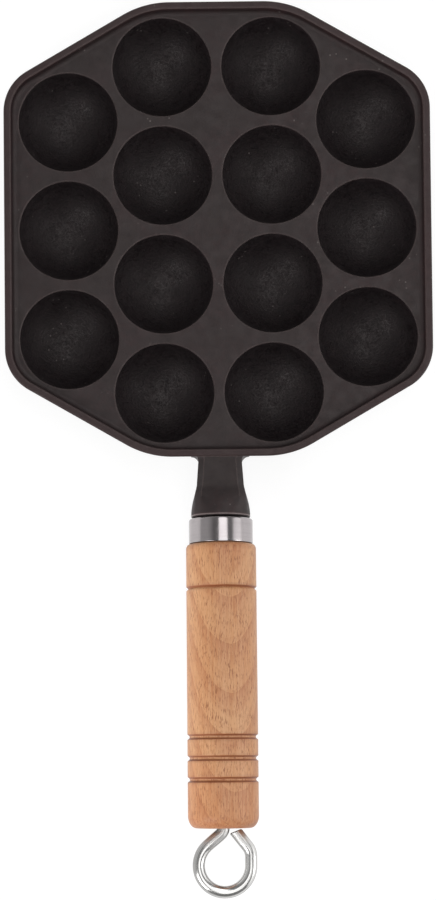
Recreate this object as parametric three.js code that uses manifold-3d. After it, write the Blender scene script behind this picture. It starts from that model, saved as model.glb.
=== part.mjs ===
// A cast-iron takoyaki pan with fourteen half-ball cups and a turned wooden handle on an eye rod.
// Millimetres. +Z is up, +X runs to the right and +Y points away from the handle.
import * as THREE from 'three';
import { mergeVertices } from 'three/addons/utils/BufferGeometryUtils.js';
import Module from 'manifold-3d';

const wasm = await Module();
wasm.setup();

// Cups
const cupPitch = 44.4; // between neighbouring cups, along every row of the pattern
const cupMouthDiameter = 40.2;
const cupDepth = 18.6;
const cupWall = 3.2;
const footFlat = 0.6; // ground off the bottom of each dome, so that the pan stands on flats

// Plate and rim
const plateThickness = 4;
const rimHeight = 4; // above the plate's face
const rimMargin = 5.9; // from a cup's mouth to the outside of the rim
const rimBand = 2.9; // flat top of the rim
const rimSlope = 0.4; // run of the steep inner wall
const rimFillet = 1.8; // run of the hollow fillet between inner wall and plate
const rimEdgeRound = 0.9;
const rimDraft = 0.8; // how far the outer wall leans in towards the underside
const endCornerRadius = 38; // corners beside the two short end edges
const sideCornerRadius = 19; // corners beside the two long side edges

// Neck, part of the casting
const neckReach = 25; // from the pan's edge to the collar's face, seen from above
const neckRootWidth = 17.6; // where the neck leaves the pan
const neckWidth = 18.9; // where the flare to the collar begins
const neckHeight = 16.4;
const neckBevel = 2.4;
const neckRootFillet = 3.1;
const neckFlareLength = 12.5;
const collarDiameter = 24;
const collarLip = 0.5; // rounding of the collar's face
const collarDrop = 2.2; // from the plate's face down to the centre of the collar's face
const keelReach = 17; // how far the neck's root runs in under the plate
const keelTipWidth = 7;
const handleTilt = 5.8; // degrees that the handle rises from the pan

// Rod and its hanging eye
const rodDiameter = 5;
const rodEngagement = 17.5; // length of rod inside the neck's socket
const rodTipChamfer = 0.7;
const socketSpare = 2.5; // empty depth beyond the rod's tip
const eyeOuterWidth = 25.8;
const eyeStandoff = 1.8; // from the grip's end to the near side of the loop
const eyeOffset = 0.4; // the loop sits this far to the right of the rod's axis
const eyeBendRadius = 4; // on the wire's centre line, where the rod turns into the eye
const eyeShoulderRun = 3.6; // straight stretch on the right, where the loop turns back to the grip
const eyeShoulderRadius = 6; // on the wire's centre line, from that stretch into the tail
const eyeTailAngle = 38; // degrees between the returning tail and the rod's axis
const eyeTailCut = 16; // degrees that the tail's end is cut off square, towards the grip's face

// Ferrule
const ferruleDiameter = 25.9;
const ferruleLength = 10.1;
const ferruleWall = 1;
const ferruleEdgeRound = 1;

// Grip
const gripDiameter = 28.4;
const gripLength = 113.3; // without the nose inside the ferrule
const gripShoulderRun = 2; // rounding beside the ferrule, along the grip
const gripShoulderDrop = 1.4; // the same rounding, across the grip
const gripEndRun = 5;
const gripEndDrop = 3.5;
const gripBoreDiameter = 6.2;
const counterboreDiameter = 12.4;
const counterboreDepth = 2;
const narrowGroove = { fromShoulder: 18, width: 1.8, depth: 0.8 };
const wideGroove = { fromEnd: 19.1, spacing: 8.45, count: 3, width: 2.4, depth: 0.9 };

// Washer under the eye's bend
const washerDiameter = 11.6;
const washerThickness = 1;

// Clearances
const seatGap = 0.3; // between faces that bear on each other
const runningGap = 0.3; // between the rod and every hole that it passes through
const overrun = 1; // how far a cutting tool passes the face that it opens

// Fineness of round forms
const cupSegments = 24;
const cupBowlRings = 5;
const turnedSegments = 32;
const wireSides = 12;
const wireBendSteps = 4;
const wireLoopSteps = 20;
const wireShoulderSteps = 3;
const edgeSteps = 3;
const filletSteps = 3;
const endCornerSteps = 4;
const sideCornerSteps = 6;
const neckFacetParts = 6;
const neckBevelParts = 2;
const neckFlareSteps = 6;
const keelSteps = 5;
const grooveSteps = 4;
const gripEndSteps = 6;

const degrees = THREE.MathUtils.degToRad;
const quarterTurn = Math.PI / 2;
const fullTurn = 2 * Math.PI;

// Places worked out from the sizes above
const cupMouthRadius = cupMouthDiameter / 2;
const bowlRadius = (cupMouthRadius ** 2 + cupDepth ** 2) / (2 * cupDepth);
const domeRadius = bowlRadius + cupWall;
const plateTop = cupDepth + cupWall - footFlat;
const plateBottom = plateTop - plateThickness;
const bowlCentreZ = plateTop - cupDepth + bowlRadius;

const rowSpacing = cupPitch * Math.cos(degrees(30));
const cupColumns = [
  { x: -cupPitch / 2 - rowSpacing, cups: 3 },
  { x: -cupPitch / 2, cups: 4 },
  { x: cupPitch / 2, cups: 4 },
  { x: cupPitch / 2 + rowSpacing, cups: 3 },
];
const cupPlaces = cupColumns.flatMap(({ x, cups }) =>
  Array.from({ length: cups }, (_, i) => [x, (i - (cups - 1) / 2) * cupPitch]));

// The outline stands the same margin outside the outermost cups on all of its eight sides.
const slantAngle = degrees(60);
const outlineDistance = (angle) => rimMargin + cupMouthRadius
  + Math.max(...cupPlaces.map(([x, y]) => x * Math.cos(angle) + y * Math.sin(angle)));
const halfLength = outlineDistance(quarterTurn);
const outlineSides = [0, slantAngle, quarterTurn, Math.PI - slantAngle,
  Math.PI, Math.PI + slantAngle, 3 * quarterTurn, fullTurn - slantAngle]
  .map((angle) => ({ angle, distance: outlineDistance(angle) }));

// Places along the handle's axis, counted outwards from the collar's face
const tilt = degrees(handleTilt);
const ferruleStart = seatGap;
const ferruleEnd = ferruleStart + ferruleLength;
const gripShoulder = ferruleEnd + seatGap;
const gripEnd = gripShoulder + gripLength;
const washerStart = gripEnd - counterboreDepth + seatGap;
const eyeBendStart = washerStart + washerThickness + seatGap;
const rodRadius = rodDiameter / 2;
const rodHoleRadius = rodRadius + runningGap;
const eyeRadius = eyeOuterWidth / 2 - rodRadius;
const eyeReach = eyeStandoff + eyeOuterWidth; // from the grip's end to the far side of the eye
const eyeCentre = new THREE.Vector2(eyeOffset, gripEnd + eyeReach - rodRadius - eyeRadius);
const panEdge = -neckReach / Math.cos(tilt);

// The whole part is centred front to back on its longest line, from the pan's far edge to the eye's end.
const collarY = -halfLength - neckReach;
const collarZ = plateTop - collarDrop;
const eyeEndY = collarY - (gripEnd + eyeReach - rodRadius) * Math.cos(tilt) - rodRadius;
const middleY = (halfLength + eyeEndY) / 2;

// Shape helpers

// A closed skin over rings of points, each ring seen counter-clockwise from the last one.
function loft(rings) {
  const count = rings[0].length;
  const centreOf = (ring) => ring.reduce((sum, p) => sum.add(p), new THREE.Vector3()).divideScalar(count);
  const points = [...rings.flat(), centreOf(rings[0]), centreOf(rings[rings.length - 1])];
  const firstCentre = points.length - 2;
  const lastCentre = points.length - 1;
  const lastRing = (rings.length - 1) * count;
  const index = [];
  for (let i = 0; i < count; i += 1) {
    const next = (i + 1) % count;
    for (let ring = 0; ring < lastRing; ring += count) {
      index.push(ring + i, ring + next, ring + count + next);
      index.push(ring + i, ring + count + next, ring + count + i);
    }
    index.push(firstCentre, next, i);
    index.push(lastCentre, lastRing + i, lastRing + next);
  }
  return new THREE.BufferGeometry().setFromPoints(points).setIndex(index);
}

// A form turned about the Z axis. The profile's points are [radius, height], and it has its
// material on the left of its path.
function turned(profile, segments = turnedSegments) {
  const points = profile.map(([radius, height]) => new THREE.Vector2(radius, height));
  return new THREE.LatheGeometry(points, segments).rotateX(quarterTurn);
}

// Points [x, y] on an arc, with both ends
function arc(x, y, radiusX, radiusY, from, to, steps) {
  return Array.from({ length: steps + 1 }, (_, i) => {
    const angle = from + ((to - from) * i) / steps;
    return [x + radiusX * Math.cos(angle), y + radiusY * Math.sin(angle)];
  });
}

function toSolid(geometry) {
  const bare = new THREE.BufferGeometry();
  bare.setAttribute('position', geometry.getAttribute('position').clone());
  bare.setIndex(geometry.index);
  const merged = mergeVertices(bare);
  const corners = merged.index.array;
  const triVerts = [];
  for (let i = 0; i < corners.length; i += 3) {
    const [a, b, c] = corners.slice(i, i + 3);
    if (a !== b && b !== c && c !== a) {
      triVerts.push(a, b, c);
    }
  }
  return new wasm.Manifold(new wasm.Mesh({
    numProp: 3,
    vertProperties: merged.attributes.position.array,
    triVerts: new Uint32Array(triVerts),
  }));
}

function toGeometry(solid) {
  const { vertProperties, triVerts } = solid.getMesh();
  const geometry = new THREE.BufferGeometry();
  geometry.setAttribute('position', new THREE.BufferAttribute(vertProperties, 3));
  geometry.setIndex(new THREE.BufferAttribute(triVerts, 1));
  geometry.computeVertexNormals();
  return geometry;
}

// The handle's own frame: its origin is the centre of the collar's face, its Z runs outwards
// along the rod and its Y points up.
const handleFrame = new THREE.Matrix4()
  .makeRotationX(quarterTurn - tilt)
  .setPosition(0, collarY, collarZ);

// Pan

// The pan's outline, drawn in by `inset`, at one height. Its corners keep their centres.
function outlineRing([inset, z]) {
  const ring = [];
  outlineSides.forEach((side, i) => {
    const next = outlineSides[(i + 1) % outlineSides.length];
    const turn = (next.angle - side.angle + fullTurn) % fullTurn;
    const atSide = turn > degrees(45);
    const radius = atSide ? sideCornerRadius : endCornerRadius;
    const steps = atSide ? sideCornerSteps : endCornerSteps;
    const near = side.distance - radius;
    const far = next.distance - radius;
    const x = (near * Math.sin(next.angle) - far * Math.sin(side.angle)) / Math.sin(turn);
    const y = (far * Math.cos(side.angle) - near * Math.cos(next.angle)) / Math.sin(turn);
    const drawn = radius - inset;
    arc(x, y, drawn, drawn, side.angle, side.angle + turn, steps)
      .forEach(([px, py]) => ring.push(new THREE.Vector3(px, py, z)));
  });
  return ring;
}

function plateWithRim() {
  const rimTop = plateTop + rimHeight;
  const filletFoot = rimBand + rimSlope + rimFillet;
  const section = [
    [rimDraft + rimEdgeRound, plateBottom],
    [rimDraft, plateBottom + rimEdgeRound],
    ...arc(rimEdgeRound, rimTop - rimEdgeRound, -rimEdgeRound, rimEdgeRound, 0, quarterTurn, edgeSteps),
    [rimBand, rimTop],
    ...arc(filletFoot, plateTop + rimFillet, -rimFillet, -rimFillet, 0, quarterTurn, filletSteps),
  ];
  return loft(section.map(outlineRing));
}

// A cup's outside: part of a ball up into the plate, with a flat foot
function dome() {
  const footZ = bowlCentreZ - domeRadius + footFlat;
  const topZ = plateTop - plateThickness / 2;
  const polar = (z) => Math.asin((z - bowlCentreZ) / domeRadius);
  return turned([
    [0, footZ],
    ...arc(0, bowlCentreZ, domeRadius, domeRadius, polar(footZ), polar(topZ), cupBowlRings),
    [0, topZ],
  ], cupSegments);
}

// A cup's hollow, carried up past the plate's face so that it cuts clean through it
function bowl() {
  const lip = Math.asin((plateTop - bowlCentreZ) / bowlRadius);
  return turned([
    ...arc(0, bowlCentreZ, bowlRadius, bowlRadius, -quarterTurn, lip, cupBowlRings),
    [cupMouthRadius, plateTop + overrun],
    [0, plateTop + overrun],
  ], cupSegments);
}

// One cross-section of the neck: an eight-sided bar that becomes a circle as `roundness` goes to 1.
function neckRing({ along, centre, halfWidth, halfHeight, roundness }) {
  const bevel = Math.min(neckBevel, halfHeight / 2, halfWidth / 2);
  const flatX = halfWidth - bevel;
  const flatY = halfHeight - bevel;
  const corners = [
    [halfWidth, -flatY], [halfWidth, flatY], [flatX, halfHeight], [-flatX, halfHeight],
    [-halfWidth, flatY], [-halfWidth, -flatY], [-flatX, -halfHeight], [flatX, -halfHeight],
  ];
  const bar = corners.flatMap(([x, y], corner) => {
    const [nextX, nextY] = corners[(corner + 1) % corners.length];
    const parts = corner % 2 === 0 ? neckFacetParts : neckBevelParts;
    return Array.from({ length: parts }, (_, part) => [
      THREE.MathUtils.lerp(x, nextX, part / parts),
      THREE.MathUtils.lerp(y, nextY, part / parts),
    ]);
  });
  return bar.map(([x, y], i) => {
    const angle = ((i - neckFacetParts / 2) / bar.length) * fullTurn;
    return new THREE.Vector3(
      THREE.MathUtils.lerp(x, halfWidth * Math.cos(angle), roundness),
      THREE.MathUtils.lerp(y, halfHeight * Math.sin(angle), roundness) + centre,
      along,
    );
  });
}

// The neck, from the tip of its keel under the plate out to the collar's face, in the handle's frame
function neck() {
  const halfWidth = neckWidth / 2;
  const halfHeight = neckHeight / 2;
  const collarRadius = collarDiameter / 2;
  const flareStart = -neckFlareLength;
  // The height of a level face above the handle's axis, at a place along the axis
  const above = (z, along) => (z - collarZ - along * Math.sin(tilt)) / Math.cos(tilt);
  const keelTip = panEdge - keelReach;
  const rooted = neckRootWidth / 2 + neckRootFillet;
  const stations = [];

  // The keel's top is buried in the plate, and its underside rises to the plate's underside.
  for (let i = 0; i <= keelSteps; i += 1) {
    const share = i / keelSteps;
    const along = THREE.MathUtils.lerp(keelTip, panEdge - rimBand, share);
    const top = above(plateTop - plateThickness / 2, along);
    const shallow = above(plateBottom, along) + plateThickness / 4;
    const bottom = THREE.MathUtils.lerp(shallow, -halfHeight, Math.sin(share * quarterTurn));
    stations.push({
      along,
      centre: (top + bottom) / 2,
      halfWidth: THREE.MathUtils.lerp(keelTipWidth / 2, rooted, share),
      halfHeight: (top - bottom) / 2,
      roundness: 0,
    });
  }

  // Out through the rim, with a hollow fillet where the neck leaves the pan's drafted outer wall
  const filletCentre = panEdge - rimDraft + neckRootFillet;
  arc(rooted, filletCentre, -neckRootFillet, -neckRootFillet, quarterTurn, 0, filletSteps)
    .forEach(([width, along]) => {
      stations.push({ along, centre: 0, halfWidth: width, halfHeight, roundness: 0 });
    });

  // The flare from the bar to the round collar
  for (let i = 0; i <= neckFlareSteps; i += 1) {
    const share = i / neckFlareSteps;
    const swell = Math.sin(share * quarterTurn);
    stations.push({
      along: THREE.MathUtils.lerp(flareStart, -collarLip, share),
      centre: 0,
      halfWidth: THREE.MathUtils.lerp(halfWidth, collarRadius, swell),
      halfHeight: THREE.MathUtils.lerp(halfHeight, collarRadius, swell),
      roundness: THREE.MathUtils.smoothstep(share, 0, 1),
    });
  }
  const faceRadius = collarRadius - collarLip;
  stations.push({
    along: 0, centre: 0, halfWidth: faceRadius, halfHeight: faceRadius, roundness: 1,
  });
  return loft(stations.map(neckRing)).applyMatrix4(handleFrame);
}

// The blind socket for the rod, with a drill-point bottom
function socket() {
  const depth = rodEngagement + socketSpare;
  return turned([
    [0, -depth - rodHoleRadius / 2],
    [rodHoleRadius, -depth],
    [rodHoleRadius, overrun],
    [0, overrun],
  ]).applyMatrix4(handleFrame);
}

function pan() {
  let casting = toSolid(plateWithRim()).add(toSolid(neck()));
  cupPlaces.forEach(([x, y]) => {
    casting = casting.add(toSolid(dome().translate(x, y, 0)));
  });
  cupPlaces.forEach(([x, y]) => {
    casting = casting.subtract(toSolid(bowl().translate(x, y, 0)));
  });
  return toGeometry(casting.subtract(toSolid(socket())));
}

// Ferrule: a drawn cap, its closed end against the collar
function ferrule() {
  const radius = ferruleDiameter / 2;
  return turned([
    [rodHoleRadius, ferruleStart],
    ...arc(radius - ferruleEdgeRound, ferruleStart + ferruleEdgeRound,
      ferruleEdgeRound, ferruleEdgeRound, -quarterTurn, 0, edgeSteps),
    [radius, ferruleEnd],
    [radius - ferruleWall, ferruleEnd],
    [radius - ferruleWall, ferruleStart + ferruleWall],
    [rodHoleRadius, ferruleStart + ferruleWall],
    [rodHoleRadius, ferruleStart],
  ]);
}

// A groove turned into a cylinder, as profile points from one edge to the other
function groove(radius, middle, { width, depth }) {
  return Array.from({ length: grooveSteps + 1 }, (_, i) => {
    const share = i / grooveSteps;
    return [radius - depth * Math.sin(share * Math.PI), middle + (share - 1 / 2) * width];
  });
}

// Grip: a nose inside the ferrule, a long cylinder with its grooves, and a rounded, counterbored end
function grip() {
  const radius = gripDiameter / 2;
  const noseRadius = ferruleDiameter / 2 - ferruleWall - seatGap;
  const noseStart = ferruleStart + ferruleWall + seatGap;
  const boreRadius = gripBoreDiameter / 2;
  const wideGrooves = Array.from({ length: wideGroove.count }, (_, i) =>
    gripEnd - wideGroove.fromEnd - (wideGroove.count - 1 - i) * wideGroove.spacing);
  return turned([
    [boreRadius, noseStart],
    [noseRadius, noseStart],
    [noseRadius, gripShoulder],
    ...arc(radius - gripShoulderDrop, gripShoulder + gripShoulderRun,
      gripShoulderDrop, gripShoulderRun, -quarterTurn, 0, edgeSteps),
    ...groove(radius, gripShoulder + narrowGroove.fromShoulder, narrowGroove),
    ...wideGrooves.flatMap((middle) => groove(radius, middle, wideGroove)),
    ...arc(radius - gripEndDrop, gripEnd - gripEndRun,
      gripEndDrop, gripEndRun, 0, quarterTurn, gripEndSteps),
    [counterboreDiameter / 2, gripEnd],
    [counterboreDiameter / 2, gripEnd - counterboreDepth],
    [boreRadius, gripEnd - counterboreDepth],
    [boreRadius, noseStart],
  ]);
}

function rodWasher() {
  const radius = washerDiameter / 2;
  return turned([
    [rodHoleRadius, washerStart],
    [radius, washerStart],
    [radius, washerStart + washerThickness],
    [rodHoleRadius, washerStart + washerThickness],
    [rodHoleRadius, washerStart],
  ]);
}

// Places along the rod's centre line on an arc. A negative radius turns the wire clockwise.
function wireArc(centre, radius, from, to, steps) {
  return Array.from({ length: steps + 1 }, (_, i) => {
    const heading = THREE.MathUtils.lerp(from, to, i / steps);
    return {
      x: centre.x + radius * Math.cos(heading),
      z: centre.y + radius * Math.sin(heading),
      heading,
      radius: rodRadius,
    };
  });
}

// Eye rod. Its centre line lies in the handle frame's XZ plane: straight out through the grip, a
// bend to the left, a straight, round the loop clockwise, a shoulder, and a tail back to the grip.
function eyeRod() {
  const bendCentre = new THREE.Vector2(-eyeBendRadius, eyeBendStart);
  const between = eyeCentre.clone().sub(bendCentre);
  // The straight between bend and loop touches both circles, one on each side.
  const bendAngle = between.angle() - Math.acos((eyeBendRadius + eyeRadius) / between.length());
  const tailTurn = degrees(eyeTailAngle);
  const backward = -Math.PI;
  const tailHeading = backward - tailTurn;
  const shoulderCentre = new THREE.Vector2(
    eyeCentre.x + eyeRadius - eyeShoulderRadius,
    eyeCentre.y - eyeShoulderRun,
  );
  const stations = [
    { x: 0, z: -rodEngagement, heading: 0, radius: rodRadius - rodTipChamfer },
    { x: 0, z: -rodEngagement + rodTipChamfer, heading: 0, radius: rodRadius },
    ...wireArc(bendCentre, eyeBendRadius, 0, bendAngle, wireBendSteps),
    ...wireArc(eyeCentre, -eyeRadius, bendAngle, backward, wireLoopSteps),
    ...wireArc(shoulderCentre, -eyeShoulderRadius, backward, tailHeading, wireShoulderSteps),
  ];
  // The tail's end is cut nearer to the grip's face, with its outer corner just clear of it.
  const last = stations[stations.length - 1];
  const cut = Math.tan(degrees(eyeTailCut));
  const tailZ = gripEnd + seatGap + rodRadius * (Math.sin(tailTurn) - cut * Math.cos(tailTurn));
  stations.push({
    x: last.x - (last.z - tailZ) * Math.tan(tailTurn),
    z: tailZ,
    heading: tailHeading,
    radius: rodRadius,
    skew: cut,
  });
  return loft(stations.map(({ x, z, heading, radius, skew = 0 }) =>
    Array.from({ length: wireSides }, (_, i) => {
      const around = (i / wireSides) * fullTurn;
      const across = radius * Math.cos(around);
      return new THREE.Vector3(
        x + across * (Math.cos(heading) - skew * Math.sin(heading)),
        radius * Math.sin(around),
        z + across * (Math.sin(heading) + skew * Math.cos(heading)),
      );
    })));
}

// Assembly

function part(name, geometry, color, roughness, metalness) {
  const mesh = new THREE.Mesh(geometry, new THREE.MeshStandardMaterial({ color, roughness, metalness }));
  mesh.name = name;
  return mesh;
}

const takoyakiPan = new THREE.Group();
takoyakiPan.name = 'takoyaki_pan';
takoyakiPan.position.y = -middleY;

const handle = new THREE.Group();
handle.name = 'handle';
handle.applyMatrix4(handleFrame);
handle.add(
  part('ferrule', ferrule(), 0xc9c9cc, 0.15, 1),
  part('grip', grip(), 0xc39168, 0.55, 0),
  part('rod_washer', rodWasher(), 0xa9a9a6, 0.4, 1),
  part('eye_rod', eyeRod(), 0xcfcfcd, 0.2, 1),
);

takoyakiPan.add(part('pan', pan(), 0x3b3635, 0.75, 0.3), handle);

export default takoyakiPan;
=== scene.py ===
import math

import bmesh
import bpy
from mathutils import Matrix, Vector


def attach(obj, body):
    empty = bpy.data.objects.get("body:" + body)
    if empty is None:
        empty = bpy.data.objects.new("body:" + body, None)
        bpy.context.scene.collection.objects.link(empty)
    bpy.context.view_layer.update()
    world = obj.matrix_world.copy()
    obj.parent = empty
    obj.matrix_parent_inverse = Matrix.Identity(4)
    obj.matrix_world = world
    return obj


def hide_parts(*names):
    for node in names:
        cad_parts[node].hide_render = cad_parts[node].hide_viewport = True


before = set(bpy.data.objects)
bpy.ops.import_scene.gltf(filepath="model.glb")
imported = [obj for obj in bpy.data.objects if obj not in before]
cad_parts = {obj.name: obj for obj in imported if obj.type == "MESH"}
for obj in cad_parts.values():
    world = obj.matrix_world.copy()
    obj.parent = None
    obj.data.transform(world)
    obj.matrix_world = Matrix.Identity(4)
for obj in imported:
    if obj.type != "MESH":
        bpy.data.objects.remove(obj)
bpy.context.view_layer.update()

MM = 0.001
QUARTER = math.pi / 2
FULL = 2 * math.pi

# Sizes in millimetres, as in the part's source

# Cups
CUP_PITCH = 44.4
CUP_MOUTH_RADIUS = 20.1
CUP_DEPTH = 18.6
CUP_WALL = 3.2
FOOT_FLAT = 0.6
MOUTH_EDGE_ROUND = 0.45
DOME_FILLET = 1.6

# Plate and rim
PLATE_THICKNESS = 4
RIM_HEIGHT = 4
RIM_MARGIN = 5.9
RIM_BAND = 2.9
RIM_SLOPE = 0.4
RIM_FILLET = 1.8
RIM_EDGE_ROUND = 0.9
RIM_INNER_ROUND = 0.4
RIM_DRAFT = 0.8
END_CORNER_RADIUS = 38
SIDE_CORNER_RADIUS = 19
LEAST_SIDE_CORNER = math.radians(45)  # corners at the pan's ends turn less than this

# Neck
NECK_REACH = 25
NECK_ROOT_WIDTH = 17.6
NECK_WIDTH = 18.9
NECK_HEIGHT = 16.4
NECK_BEVEL = 2.4
NECK_ROOT_FILLET = 3.1
NECK_FLARE_LENGTH = 12.5
COLLAR_RADIUS = 12
COLLAR_LIP = 0.9
COLLAR_DROP = 2.2
KEEL_REACH = 17
KEEL_TIP_WIDTH = 7
HANDLE_TILT = math.radians(5.8)

# Rod and eye
ROD_RADIUS = 2.5
ROD_ENGAGEMENT = 17.5
ROD_TIP_CHAMFER = 0.7
SOCKET_SPARE = 2.5
SOCKET_CHAMFER = 0.4
THREAD_PITCH = 0.8
THREAD_DEPTH = 0.45
THREAD_RUNOUT = 1.2
EYE_OUTER_WIDTH = 25.8
EYE_STANDOFF = 1.8
EYE_OFFSET = 0.4
EYE_BEND_RADIUS = 4
EYE_SHOULDER_RUN = 3.6
EYE_SHOULDER_RADIUS = 6
EYE_TAIL_TURN = math.radians(38)
EYE_TAIL_CUT = math.tan(math.radians(16))
EYE_TAIL_ROUND = 0.35

# Ferrule, grip and washer
FERRULE_RADIUS = 12.95
FERRULE_LENGTH = 10.1
FERRULE_WALL = 1
FERRULE_EDGE_ROUND = 1
FERRULE_MOUTH_ROUND = 0.25
GRIP_RADIUS = 14.2
GRIP_LENGTH = 113.3
GRIP_NOSE_CHAMFER = 0.5
GRIP_SHOULDER_RUN = 2
GRIP_SHOULDER_DROP = 1.4
GRIP_END_RUN = 5
GRIP_END_DROP = 3.5
GRIP_BORE_RADIUS = 3.1
COUNTERBORE_RADIUS = 6.2
COUNTERBORE_DEPTH = 2
COUNTERBORE_CHAMFER = 0.3
NARROW_GROOVE = {"middle": 18, "width": 1.8, "depth": 0.8}
WIDE_GROOVE = {"from_end": 19.1, "spacing": 8.45, "count": 3, "width": 2.4, "depth": 0.9}
WASHER_RADIUS = 5.8
WASHER_THICKNESS = 1
WASHER_CHAMFER = 0.2
SEAT_GAP = 0.3
RUNNING_GAP = 0.3
OVERRUN = 1
HAIR = 0.03  # keeps the finer curves here inside the coarser solids' box

# Places worked out from the sizes
BOWL_RADIUS = (CUP_MOUTH_RADIUS ** 2 + CUP_DEPTH ** 2) / (2 * CUP_DEPTH)
DOME_RADIUS = BOWL_RADIUS + CUP_WALL
PLATE_TOP = CUP_DEPTH + CUP_WALL - FOOT_FLAT
PLATE_BOTTOM = PLATE_TOP - PLATE_THICKNESS
RIM_TOP = PLATE_TOP + RIM_HEIGHT
BOWL_CENTRE_Z = PLATE_TOP - CUP_DEPTH + BOWL_RADIUS
ROW_SPACING = CUP_PITCH * math.cos(math.radians(30))
CUP_COLUMNS = [
    (-CUP_PITCH / 2 - ROW_SPACING, 3),
    (-CUP_PITCH / 2, 4),
    (CUP_PITCH / 2, 4),
    (CUP_PITCH / 2 + ROW_SPACING, 3),
]
CUPS = [(x, (i - (count - 1) / 2) * CUP_PITCH) for x, count in CUP_COLUMNS for i in range(count)]
FERRULE_END = SEAT_GAP + FERRULE_LENGTH
GRIP_SKIN = GRIP_RADIUS - HAIR
GRIP_SHOULDER = FERRULE_END + SEAT_GAP
GRIP_END = GRIP_SHOULDER + GRIP_LENGTH
WASHER_START = GRIP_END - COUNTERBORE_DEPTH + SEAT_GAP
EYE_BEND_START = WASHER_START + WASHER_THICKNESS + SEAT_GAP
ROD_HOLE_RADIUS = ROD_RADIUS + RUNNING_GAP
EYE_RADIUS = EYE_OUTER_WIDTH / 2 - ROD_RADIUS
EYE_REACH = EYE_STANDOFF + EYE_OUTER_WIDTH
EYE_CENTRE = Vector((EYE_OFFSET, GRIP_END + EYE_REACH - ROD_RADIUS - EYE_RADIUS))


def outline_distance(angle):
    """How far the pan's side at this angle stands from the middle of the plate."""
    reach = max(x * math.cos(angle) + y * math.sin(angle) for x, y in CUPS)
    return RIM_MARGIN + CUP_MOUTH_RADIUS + reach


SIDE_ANGLES = [math.radians(a) for a in (0, 60, 90, 120, 180, 240, 270, 300)]
HALF_LENGTH = outline_distance(QUARTER)
COLLAR_Y = -HALF_LENGTH - NECK_REACH
COLLAR_Z = PLATE_TOP - COLLAR_DROP
EYE_END_Y = COLLAR_Y - (GRIP_END + EYE_REACH - ROD_RADIUS) * math.cos(HANDLE_TILT) - ROD_RADIUS
MIDDLE_Y = (HALF_LENGTH + EYE_END_Y) / 2

# The pan's frame has the plate's middle at its origin. The handle's runs out from the collar's face
# along the rod, so that the pan's end lies at a negative height in it.
PAN_FRAME = Matrix.Translation((0, -MIDDLE_Y * MM, 0))
HANDLE_PLACE = (0, (COLLAR_Y - MIDDLE_Y) * MM, COLLAR_Z * MM)
HANDLE_TURN = QUARTER - HANDLE_TILT
HANDLE_FRAME = Matrix.Translation(HANDLE_PLACE) @ Matrix.Rotation(HANDLE_TURN, 4, "X")
PAN_EDGE = -NECK_REACH / math.cos(HANDLE_TILT)


# Mesh helpers

# How near, in metres, points and levels count as the same, and how upright a level face's normal is
SAME_PLACE = 1e-7
SAME_LEVEL = 1e-5
UPRIGHT = 0.9999


def lerp(a, b, share):
    """The value that lies this share of the way from a to b."""
    return a + (b - a) * share


def held(share):
    """The share, kept between 0 and 1."""
    return min(1, max(0, share))


def smooth_share(share):
    """The share, with a soft start and end."""
    return share * share * (3 - 2 * share)


def arc(x, y, radius_x, radius_y, start, end, steps):
    """Points of a round or oval arc about x, y."""
    angles = [lerp(start, end, i / steps) for i in range(steps + 1)]
    return [(x + radius_x * math.cos(a), y + radius_y * math.sin(a)) for a in angles]


def circle_angles(count):
    """Angles evenly round a circle."""
    return [FULL * i / count for i in range(count)]


def turned_rings(profile, segments):
    """Rings about the Z axis through profile points (radius, height)."""
    around = circle_angles(segments)
    return [[(r * math.cos(a), r * math.sin(a), z) for a in around] for r, z in profile]


def ring_faces(rings, wrap):
    """Faces between neighbouring rings, with a cap at each end unless the rings wrap round."""
    count = len(rings[0])
    faces = []
    for r in range(len(rings) if wrap else len(rings) - 1):
        near = r * count
        far = (r + 1) % len(rings) * count
        for i in range(count):
            j = (i + 1) % count
            faces.append((near + i, near + j, far + j, far + i))
    if not wrap:
        last = (len(rings) - 1) * count
        faces.append(tuple(reversed(range(count))))
        faces.append(tuple(range(last, last + count)))
    return faces


def skin(name, rings, ring_frame=Matrix(), wrap=False, shades=(), wire=()):
    """A solid's mesh over rings of points in millimetres. Shades are given for each ring, and
    places on the wire for each point."""
    corners = [ring_frame @ (Vector(point) * MM) for ring in rings for point in ring]
    mesh = bpy.data.meshes.new(name)
    mesh.from_pydata(corners, [], ring_faces(rings, wrap))
    if shades:
        layer = mesh.attributes.new("burnish", "FLOAT", "POINT")
        layer.data.foreach_set("value", [value for value in shades for _ in rings[0]])
    if wire:
        layer = mesh.attributes.new("wire_place", "FLOAT_VECTOR", "POINT")
        layer.data.foreach_set("vector", [value for place in wire for value in place])
    closed = bmesh.new()
    closed.from_mesh(mesh)
    bmesh.ops.remove_doubles(closed, verts=closed.verts, dist=SAME_PLACE)
    bmesh.ops.recalc_face_normals(closed, faces=closed.faces)
    closed.to_mesh(mesh)
    closed.free()
    piece = bpy.data.objects.new(name, mesh)
    bpy.context.scene.collection.objects.link(piece)
    return piece


def shade(piece, crease, flat_levels=()):
    """Smooth shading with sharp creases. Level faces at the named heights stay flat."""
    mesh = piece.data
    mesh.shade_smooth()
    mesh.set_sharp_from_angle(angle=crease)
    for face in mesh.polygons:
        at_level = any(abs(face.center.z - z * MM) < SAME_LEVEL for z in flat_levels)
        if at_level and abs(face.normal.z) > UPRIGHT:
            face.use_smooth = False


def combine(base, parts, operation):
    """Adds solids to the base solid, or cuts them from it."""
    for part in parts:
        step = base.modifiers.new(part.name, "BOOLEAN")
        step.operation = operation
        step.solver = "MANIFOLD"
        step.object = part
    bpy.context.view_layer.update()
    seen = base.evaluated_get(bpy.context.evaluated_depsgraph_get())
    result = bpy.data.meshes.new_from_object(seen)
    base.modifiers.clear()
    base.data = result
    for part in parts:
        bpy.data.objects.remove(part)


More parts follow.
